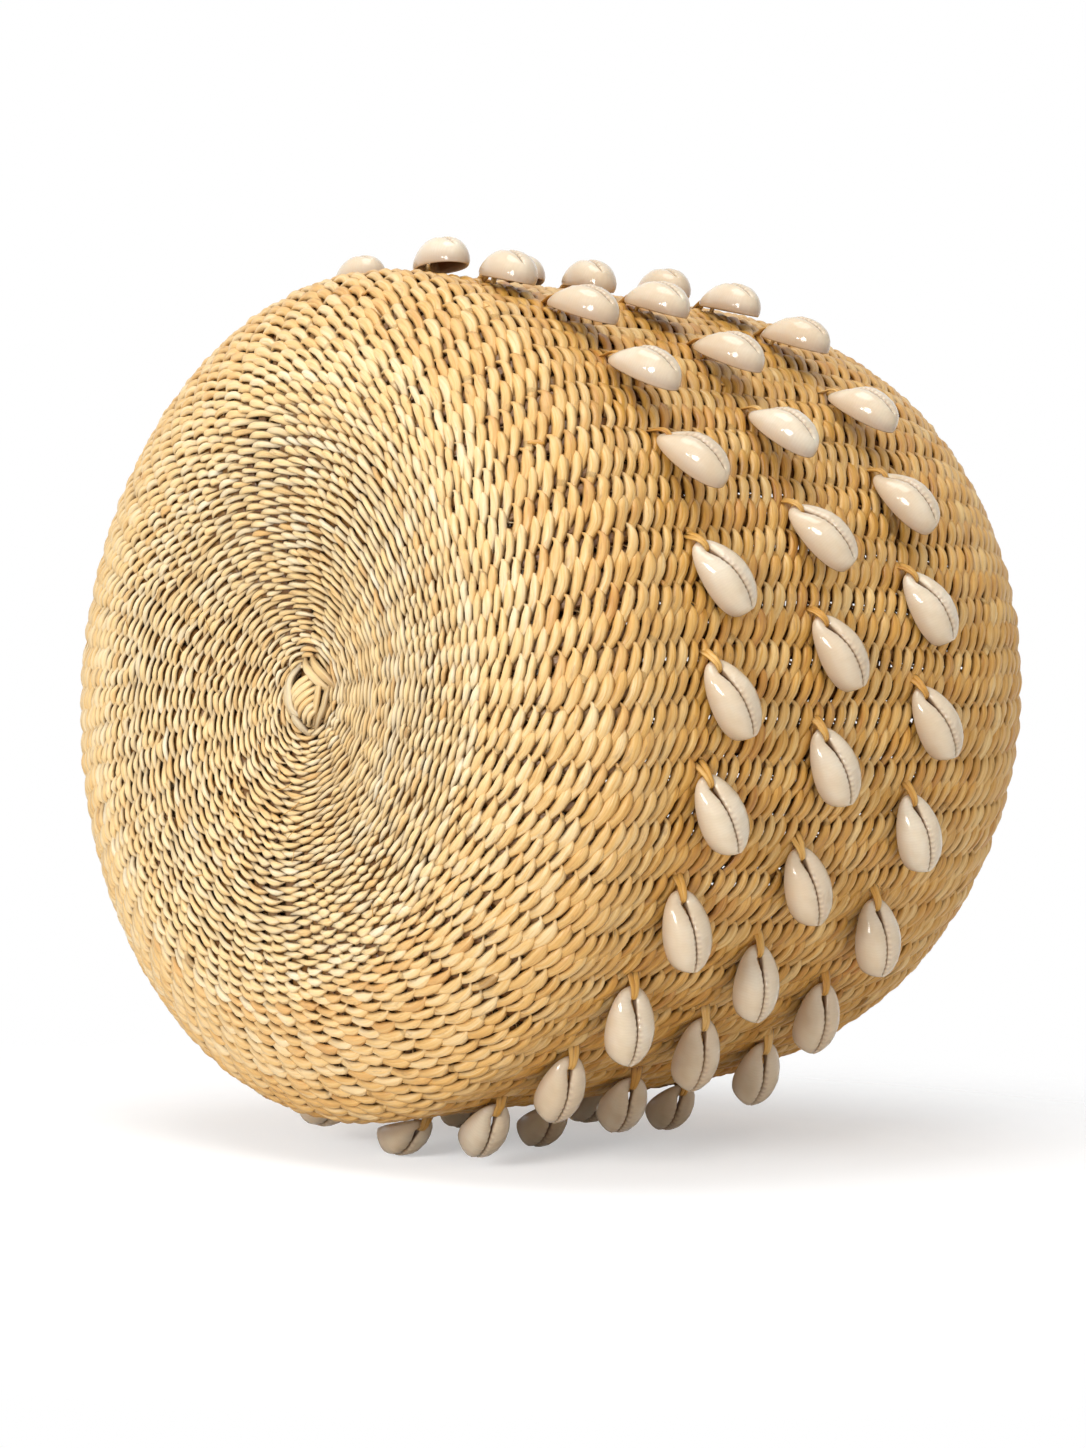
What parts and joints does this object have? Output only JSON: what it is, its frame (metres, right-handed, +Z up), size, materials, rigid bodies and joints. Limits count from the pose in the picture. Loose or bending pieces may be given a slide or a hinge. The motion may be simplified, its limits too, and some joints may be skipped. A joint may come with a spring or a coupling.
{
  "type": "woven basket",
  "caption": "Round twined grass basket with a dished base, a round shoulder, a wide mouth and rings of cut cowrie shells that swing on grass loops.",
  "frame": {"origin": "middle of the whole object's box in X and Y, at the level of the foot ring that it stands on", "axes": "+Z up and out of the mouth; the side that is uppermost in the picture faces +X and -Y alike"},
  "size_m": [0.2524, 0.2542, 0.2102],
  "materials": {
    "pale_grass": "matt dried grass",
    "golden_grass": "satin dried grass",
    "cowrie": "glossy shell"
  },
  "bodies": {
    "basket": {"woven_base": "pale_grass", "starting_knot": "pale_grass", "woven_wall": "golden_grass", "mouth_border": "golden_grass"},
    "shell_1_00_body": {"shell_1_00": "cowrie"},
    "shell_1_01_body": {"shell_1_01": "cowrie"},
    "shell_1_02_body": {"shell_1_02": "cowrie"},
    "shell_1_03_body": {"shell_1_03": "cowrie"},
    "shell_1_04_body": {"shell_1_04": "cowrie"},
    "shell_1_05_body": {"shell_1_05": "cowrie"},
    "shell_1_06_body": {"shell_1_06": "cowrie"},
    "shell_1_07_body": {"shell_1_07": "cowrie"},
    "shell_1_08_body": {"shell_1_08": "cowrie"},
    "shell_1_09_body": {"shell_1_09": "cowrie"},
    "shell_1_10_body": {"shell_1_10": "cowrie"},
    "shell_1_11_body": {"shell_1_11": "cowrie"},
    "shell_1_12_body": {"shell_1_12": "cowrie"},
    "shell_1_13_body": {"shell_1_13": "cowrie"},
    "shell_1_19_body": {"shell_1_19": "cowrie"},
    "shell_1_20_body": {"shell_1_20": "cowrie"},
    "shell_1_21_body": {"shell_1_21": "cowrie"},
    "shell_1_22_body": {"shell_1_22": "cowrie"},
    "shell_1_23_body": {"shell_1_23": "cowrie"},
    "shell_2_00_body": {"shell_2_00": "cowrie"},
    "shell_2_01_body": {"shell_2_01": "cowrie"},
    "shell_2_02_body": {"shell_2_02": "cowrie"},
    "shell_2_03_body": {"shell_2_03": "cowrie"},
    "shell_2_04_body": {"shell_2_04": "cowrie"},
    "shell_2_05_body": {"shell_2_05": "cowrie"},
    "shell_2_06_body": {"shell_2_06": "cowrie"},
    "shell_2_07_body": {"shell_2_07": "cowrie"},
    "shell_2_08_body": {"shell_2_08": "cowrie"},
    "shell_2_09_body": {"shell_2_09": "cowrie"},
    "shell_2_10_body": {"shell_2_10": "cowrie"},
    "shell_2_11_body": {"shell_2_11": "cowrie"},
    "shell_2_12_body": {"shell_2_12": "cowrie"},
    "shell_2_18_body": {"shell_2_18": "cowrie"},
    "shell_2_19_body": {"shell_2_19": "cowrie"},
    "shell_2_20_body": {"shell_2_20": "cowrie"},
    "shell_2_21_body": {"shell_2_21": "cowrie"},
    "shell_2_22_body": {"shell_2_22": "cowrie"},
    "shell_2_23_body": {"shell_2_23": "cowrie"},
    "shell_3_00_body": {"shell_3_00": "cowrie"},
    "shell_3_01_body": {"shell_3_01": "cowrie"},
    "shell_3_02_body": {"shell_3_02": "cowrie"},
    "shell_3_03_body": {"shell_3_03": "cowrie"},
    "shell_3_04_body": {"shell_3_04": "cowrie"},
    "shell_3_05_body": {"shell_3_05": "cowrie"},
    "shell_3_06_body": {"shell_3_06": "cowrie"},
    "shell_3_07_body": {"shell_3_07": "cowrie"},
    "shell_3_08_body": {"shell_3_08": "cowrie"},
    "shell_3_09_body": {"shell_3_09": "cowrie"},
    "shell_3_10_body": {"shell_3_10": "cowrie"},
    "shell_3_11_body": {"shell_3_11": "cowrie"},
    "shell_3_12_body": {"shell_3_12": "cowrie"},
    "shell_3_19_body": {"shell_3_19": "cowrie"},
    "shell_3_20_body": {"shell_3_20": "cowrie"},
    "shell_3_21_body": {"shell_3_21": "cowrie"},
    "shell_3_22_body": {"shell_3_22": "cowrie"},
    "shell_3_23_body": {"shell_3_23": "cowrie"}
  },
  "joints": [
    {"name": "shell_1_00_tie", "type": "hinge", "parent": "basket", "child": "shell_1_00_body", "pos_m": [0.08199, -0.08167, 0.04739], "axis": [-0.1573, -0.1652, -0.9736], "range_deg": [-7.71, 64.29]},
    {"name": "shell_1_01_tie", "type": "hinge", "parent": "basket", "child": "shell_1_01_body", "pos_m": [0.09842, -0.05979, 0.04768], "axis": [-0.1207, -0.2076, -0.9708], "range_deg": [-7.15, 64.85]},
    {"name": "shell_1_02_tie", "type": "hinge", "parent": "basket", "child": "shell_1_02_body", "pos_m": [0.10941, -0.03433, 0.04724], "axis": [0.0457, 0.1535, -0.9871], "range_deg": [-14.09, 57.31]},
    {"name": "shell_1_03_tie", "type": "hinge", "parent": "basket", "child": "shell_1_03_body", "pos_m": [0.11417, -0.0053, 0.04659], "axis": [0.0072, 0.1936, -0.9811], "range_deg": [-22.57, 48.93]},
    {"name": "shell_1_04_tie", "type": "hinge", "parent": "basket", "child": "shell_1_04_body", "pos_m": [0.11184, 0.02267, 0.04655], "axis": [-0.0607, 0.2947, -0.9536], "range_deg": [-21.43, 49.87]},
    {"name": "shell_1_05_tie", "type": "hinge", "parent": "basket", "child": "shell_1_05_body", "pos_m": [0.10154, 0.05208, 0.04646], "axis": [-0.2548, 0.5014, -0.8268], "range_deg": [-2.51, 67.99]},
    {"name": "shell_1_06_tie", "type": "hinge", "parent": "basket", "child": "shell_1_06_body", "pos_m": [0.08443, 0.07709, 0.0464], "axis": [-0.3396, 0.3796, -0.8605], "range_deg": [-6.7, 64.5]},
    {"name": "shell_1_07_tie", "type": "hinge", "parent": "basket", "child": "shell_1_07_body", "pos_m": [0.06297, 0.09586, 0.04655], "axis": [-0.4325, 0.2937, -0.8524], "range_deg": [-12.17, 59.43]},
    {"name": "shell_1_08_tie", "type": "hinge", "parent": "basket", "child": "shell_1_08_body", "pos_m": [0.0362, 0.10938, 0.04774], "axis": [-0.3389, 0.1196, -0.9332], "range_deg": [-20.07, 51.93]},
    {"name": "shell_1_09_tie", "type": "hinge", "parent": "basket", "child": "shell_1_09_body", "pos_m": [0.007, 0.11564, 0.04771], "axis": [-0.2671, 0.0223, -0.9634], "range_deg": [-22.17, 49.83]},
    {"name": "shell_1_10_tie", "type": "hinge", "parent": "basket", "child": "shell_1_10_body", "pos_m": [-0.0214, 0.11458, 0.04668], "axis": [-0.2618, -0.0422, -0.9642], "range_deg": [-16.62, 55.38]},
    {"name": "shell_1_11_tie", "type": "hinge", "parent": "basket", "child": "shell_1_11_body", "pos_m": [-0.0514, 0.1055, 0.0463], "axis": [-0.2994, -0.1368, -0.9443], "range_deg": [-18.4, 53.6]},
    {"name": "shell_1_12_tie", "type": "hinge", "parent": "basket", "child": "shell_1_12_body", "pos_m": [-0.07799, 0.08866, 0.04729], "axis": [-0.1819, -0.1527, -0.9714], "range_deg": [-13.68, 58.32]},
    {"name": "shell_1_13_tie", "type": "hinge", "parent": "basket", "child": "shell_1_13_body", "pos_m": [-0.10043, 0.06349, 0.04697], "axis": [-0.1226, -0.1858, -0.9749], "range_deg": [-16.26, 55.74]},
    {"name": "shell_1_19_tie", "type": "hinge", "parent": "basket", "child": "shell_1_19_body", "pos_m": [-0.06728, -0.09858, 0.04744], "axis": [0.2453, -0.1622, -0.9558], "range_deg": [-9.41, 62.29]},
    {"name": "shell_1_20_tie", "type": "hinge", "parent": "basket", "child": "shell_1_20_body", "pos_m": [-0.03918, -0.11217, 0.04758], "axis": [0.1464, -0.048, -0.9881], "range_deg": [-8.95, 62.95]},
    {"name": "shell_1_21_tie", "type": "hinge", "parent": "basket", "child": "shell_1_21_body", "pos_m": [-0.00894, -0.1178, 0.04675], "axis": [0.111, -0.0059, -0.9938], "range_deg": [-8.13, 63.67]},
    {"name": "shell_1_22_tie", "type": "hinge", "parent": "basket", "child": "shell_1_22_body", "pos_m": [0.0248, -0.1147, 0.04768], "axis": [-0.0304, -0.0074, -0.9995], "range_deg": [-4.44, 67.56]},
    {"name": "shell_1_23_tie", "type": "hinge", "parent": "basket", "child": "shell_1_23_body", "pos_m": [0.05552, -0.1024, 0.04648], "axis": [-0.1842, -0.1058, -0.9772], "range_deg": [-3.21, 68.79]},
    {"name": "shell_2_00_tie", "type": "hinge", "parent": "basket", "child": "shell_2_00_body", "pos_m": [0.09413, -0.06927, 0.08729], "axis": [-0.1605, -0.2292, -0.96], "range_deg": [-3.48, 68.52]},
    {"name": "shell_2_01_tie", "type": "hinge", "parent": "basket", "child": "shell_2_01_body", "pos_m": [0.10658, -0.04647, 0.08655], "axis": [-0.0054, -0.0138, -0.9999], "range_deg": [-11.14, 60.86]},
    {"name": "shell_2_02_tie", "type": "hinge", "parent": "basket", "child": "shell_2_02_body", "pos_m": [0.11427, -0.0179, 0.08702], "axis": [0.0205, 0.1478, -0.9888], "range_deg": [-19.56, 52.04]},
    {"name": "shell_2_03_tie", "type": "hinge", "parent": "basket", "child": "shell_2_03_body", "pos_m": [0.11466, 0.01068, 0.08717], "axis": [-0.0218, 0.2017, -0.9792], "range_deg": [-21.59, 50.11]},
    {"name": "shell_2_04_tie", "type": "hinge", "parent": "basket", "child": "shell_2_04_body", "pos_m": [0.1074, 0.04031, 0.08591], "axis": [-0.1749, 0.4512, -0.8751], "range_deg": [-13.29, 57.41]},
    {"name": "shell_2_05_tie", "type": "hinge", "parent": "basket", "child": "shell_2_05_body", "pos_m": [0.09298, 0.06676, 0.08696], "axis": [-0.3148, 0.4335, -0.8444], "range_deg": [-4.06, 66.84]},
    {"name": "shell_2_06_tie", "type": "hinge", "parent": "basket", "child": "shell_2_06_body", "pos_m": [0.0731, 0.08797, 0.08705], "axis": [-0.378, 0.3143, -0.8708], "range_deg": [-6.23, 65.37]},
    {"name": "shell_2_07_tie", "type": "hinge", "parent": "basket", "child": "shell_2_07_body", "pos_m": [0.04651, 0.10459, 0.08706], "axis": [-0.4091, 0.1851, -0.8935], "range_deg": [-15.89, 56.11]},
    {"name": "shell_2_08_tie", "type": "hinge", "parent": "basket", "child": "shell_2_08_body", "pos_m": [0.01892, 0.11315, 0.08687], "axis": [-0.276, 0.0496, -0.9599], "range_deg": [-18.38, 53.62]},
    {"name": "shell_2_09_tie", "type": "hinge", "parent": "basket", "child": "shell_2_09_body", "pos_m": [-0.00841, 0.11481, 0.08593], "axis": [-0.2465, -0.0139, -0.969], "range_deg": [-21.85, 50.15]},
    {"name": "shell_2_10_tie", "type": "hinge", "parent": "basket", "child": "shell_2_10_body", "pos_m": [-0.03993, 0.10855, 0.0867], "axis": [-0.3406, -0.1176, -0.9328], "range_deg": [-17.21, 54.79]},
    {"name": "shell_2_11_tie", "type": "hinge", "parent": "basket", "child": "shell_2_11_body", "pos_m": [-0.06731, 0.09486, 0.08614], "axis": [-0.2766, -0.1871, -0.9426], "range_deg": [-18.16, 53.84]},
    {"name": "shell_2_12_tie", "type": "hinge", "parent": "basket", "child": "shell_2_12_body", "pos_m": [-0.0913, 0.07317, 0.08696], "axis": [-0.186, -0.2213, -0.9573], "range_deg": [-16.27, 55.73]},
    {"name": "shell_2_18_tie", "type": "hinge", "parent": "basket", "child": "shell_2_18_body", "pos_m": [-0.07607, -0.09235, 0.08673], "axis": [0.3278, -0.2703, -0.9052], "range_deg": [-10.21, 61.09]},
    {"name": "shell_2_19_tie", "type": "hinge", "parent": "basket", "child": "shell_2_19_body", "pos_m": [-0.05015, -0.10854, 0.08705], "axis": [0.2917, -0.1331, -0.9472], "range_deg": [-7.57, 63.73]},
    {"name": "shell_2_20_tie", "type": "hinge", "parent": "basket", "child": "shell_2_20_body", "pos_m": [-0.01831, -0.11788, 0.08723], "axis": [0.1379, -0.0201, -0.9902], "range_deg": [-5.87, 65.93]},
    {"name": "shell_2_21_tie", "type": "hinge", "parent": "basket", "child": "shell_2_21_body", "pos_m": [0.01275, -0.11817, 0.08704], "axis": [0.0753, 0.0091, -0.9971], "range_deg": [-5.43, 66.47]},
    {"name": "shell_2_22_tie", "type": "hinge", "parent": "basket", "child": "shell_2_22_body", "pos_m": [0.04606, -0.10888, 0.08685], "axis": [-0.0751, -0.0339, -0.9966], "range_deg": [-3.43, 68.57]},
    {"name": "shell_2_23_tie", "type": "hinge", "parent": "basket", "child": "shell_2_23_body", "pos_m": [0.07411, -0.09119, 0.08663], "axis": [-0.1555, -0.1325, -0.9789], "range_deg": [-4.67, 67.33]},
    {"name": "shell_3_00_tie", "type": "hinge", "parent": "basket", "child": "shell_3_00_body", "pos_m": [0.10306, -0.05706, 0.12647], "axis": [-0.0317, -0.0946, -0.995], "range_deg": [-9.36, 62.64]},
    {"name": "shell_3_01_tie", "type": "hinge", "parent": "basket", "child": "shell_3_01_body", "pos_m": [0.11264, -0.03189, 0.12549], "axis": [0.041, 0.1029, -0.9938], "range_deg": [-18.71, 53.19]},
    {"name": "shell_3_02_tie", "type": "hinge", "parent": "basket", "child": "shell_3_02_body", "pos_m": [0.11624, -0.00116, 0.12633], "axis": [0.0113, 0.2235, -0.9746], "range_deg": [-20.78, 50.92]},
    {"name": "shell_3_03_tie", "type": "hinge", "parent": "basket", "child": "shell_3_03_body", "pos_m": [0.11208, 0.02783, 0.12559], "axis": [-0.07, 0.3072, -0.9491], "range_deg": [-15.45, 56.15]},
    {"name": "shell_3_04_tie", "type": "hinge", "parent": "basket", "child": "shell_3_04_body", "pos_m": [0.10078, 0.055, 0.12552], "axis": [-0.2424, 0.4481, -0.8605], "range_deg": [-2.38, 68.92]},
    {"name": "shell_3_05_tie", "type": "hinge", "parent": "basket", "child": "shell_3_05_body", "pos_m": [0.08195, 0.07959, 0.12584], "axis": [-0.3926, 0.4092, -0.8237], "range_deg": [-5.25, 66.35]},
    {"name": "shell_3_06_tie", "type": "hinge", "parent": "basket", "child": "shell_3_06_body", "pos_m": [0.05946, 0.0971, 0.12668], "axis": [-0.3104, 0.2031, -0.9287], "range_deg": [-11.77, 60.23]},
    {"name": "shell_3_07_tie", "type": "hinge", "parent": "basket", "child": "shell_3_07_body", "pos_m": [0.0318, 0.10916, 0.12589], "axis": [-0.2635, 0.0909, -0.9604], "range_deg": [-21.91, 50.09]},
    {"name": "shell_3_08_tie", "type": "hinge", "parent": "basket", "child": "shell_3_08_body", "pos_m": [0.00284, 0.11372, 0.12529], "axis": [-0.2652, 0.0215, -0.964], "range_deg": [-16.77, 55.23]},
    {"name": "shell_3_09_tie", "type": "hinge", "parent": "basket", "child": "shell_3_09_body", "pos_m": [-0.02482, 0.11121, 0.12577], "axis": [-0.3153, -0.0525, -0.9475], "range_deg": [-21.23, 50.77]},
    {"name": "shell_3_10_tie", "type": "hinge", "parent": "basket", "child": "shell_3_10_body", "pos_m": [-0.05726, 0.09909, 0.1259], "axis": [-0.3297, -0.1669, -0.9292], "range_deg": [-17.8, 54.2]},
    {"name": "shell_3_11_tie", "type": "hinge", "parent": "basket", "child": "shell_3_11_body", "pos_m": [-0.08179, 0.08097, 0.12546], "axis": [-0.2032, -0.177, -0.963], "range_deg": [-14.43, 57.57]},
    {"name": "shell_3_12_tie", "type": "hinge", "parent": "basket", "child": "shell_3_12_body", "pos_m": [-0.10205, 0.05479, 0.12678], "axis": [-0.1422, -0.218, -0.9655], "range_deg": [-16.2, 55.8]},
    {"name": "shell_3_19_tie", "type": "hinge", "parent": "basket", "child": "shell_3_19_body", "pos_m": [-0.03154, -0.11579, 0.12599], "axis": [0.1328, -0.0519, -0.9898], "range_deg": [-6.77, 65.23]},
    {"name": "shell_3_20_tie", "type": "hinge", "parent": "basket", "child": "shell_3_20_body", "pos_m": [0.0017, -0.11993, 0.1257], "axis": [0.102, -0.0126, -0.9947], "range_deg": [-7.71, 64.29]},
    {"name": "shell_3_21_tie", "type": "hinge", "parent": "basket", "child": "shell_3_21_body", "pos_m": [0.03333, -0.11493, 0.12608], "axis": [-0.0868, -0.0421, -0.9953], "range_deg": [-8.12, 63.88]},
    {"name": "shell_3_22_tie", "type": "hinge", "parent": "basket", "child": "shell_3_22_body", "pos_m": [0.06496, -0.09983, 0.12562], "axis": [-0.1706, -0.1329, -0.9763], "range_deg": [-3.17, 68.83]},
    {"name": "shell_3_23_tie", "type": "hinge", "parent": "basket", "child": "shell_3_23_body", "pos_m": [0.08944, -0.07758, 0.1257], "axis": [-0.1632, -0.2195, -0.9619], "range_deg": [-4.95, 67.05]}
  ]
}
